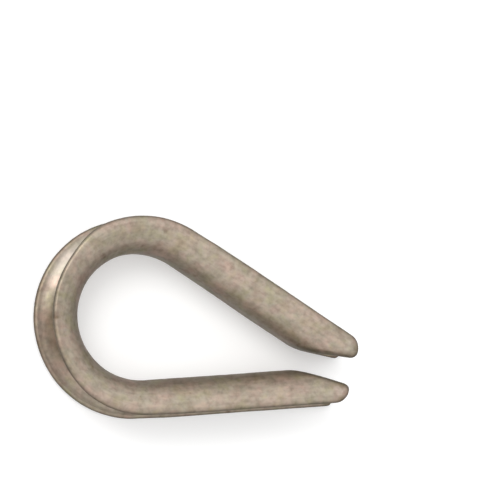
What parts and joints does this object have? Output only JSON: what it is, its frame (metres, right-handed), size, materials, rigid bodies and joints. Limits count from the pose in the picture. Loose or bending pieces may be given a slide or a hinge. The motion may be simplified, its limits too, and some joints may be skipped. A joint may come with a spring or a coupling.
{
  "type": "rope thimble",
  "caption": "Open teardrop rope thimble, a half-round galvanised steel channel that lines and protects the eye of a wire rope loop.",
  "frame": {"origin": "centre of the crown's circle, at mid-width, on the axis of the pin that the eye takes", "axes": "+X along the line of symmetry from the crown to the points, +Y across the eye, +Z along the pin's axis; the thimble lies on its side, on the channel's -Z flank"},
  "size_m": [0.0603, 0.0374, 0.0126],
  "materials": {
    "zinc": "hot-dip galvanised steel, dull, weathered, warm grey with mottling and small dark pits"
  },
  "bodies": {
    "root": {"thimble_channel": "zinc"}
  },
  "joints": []
}
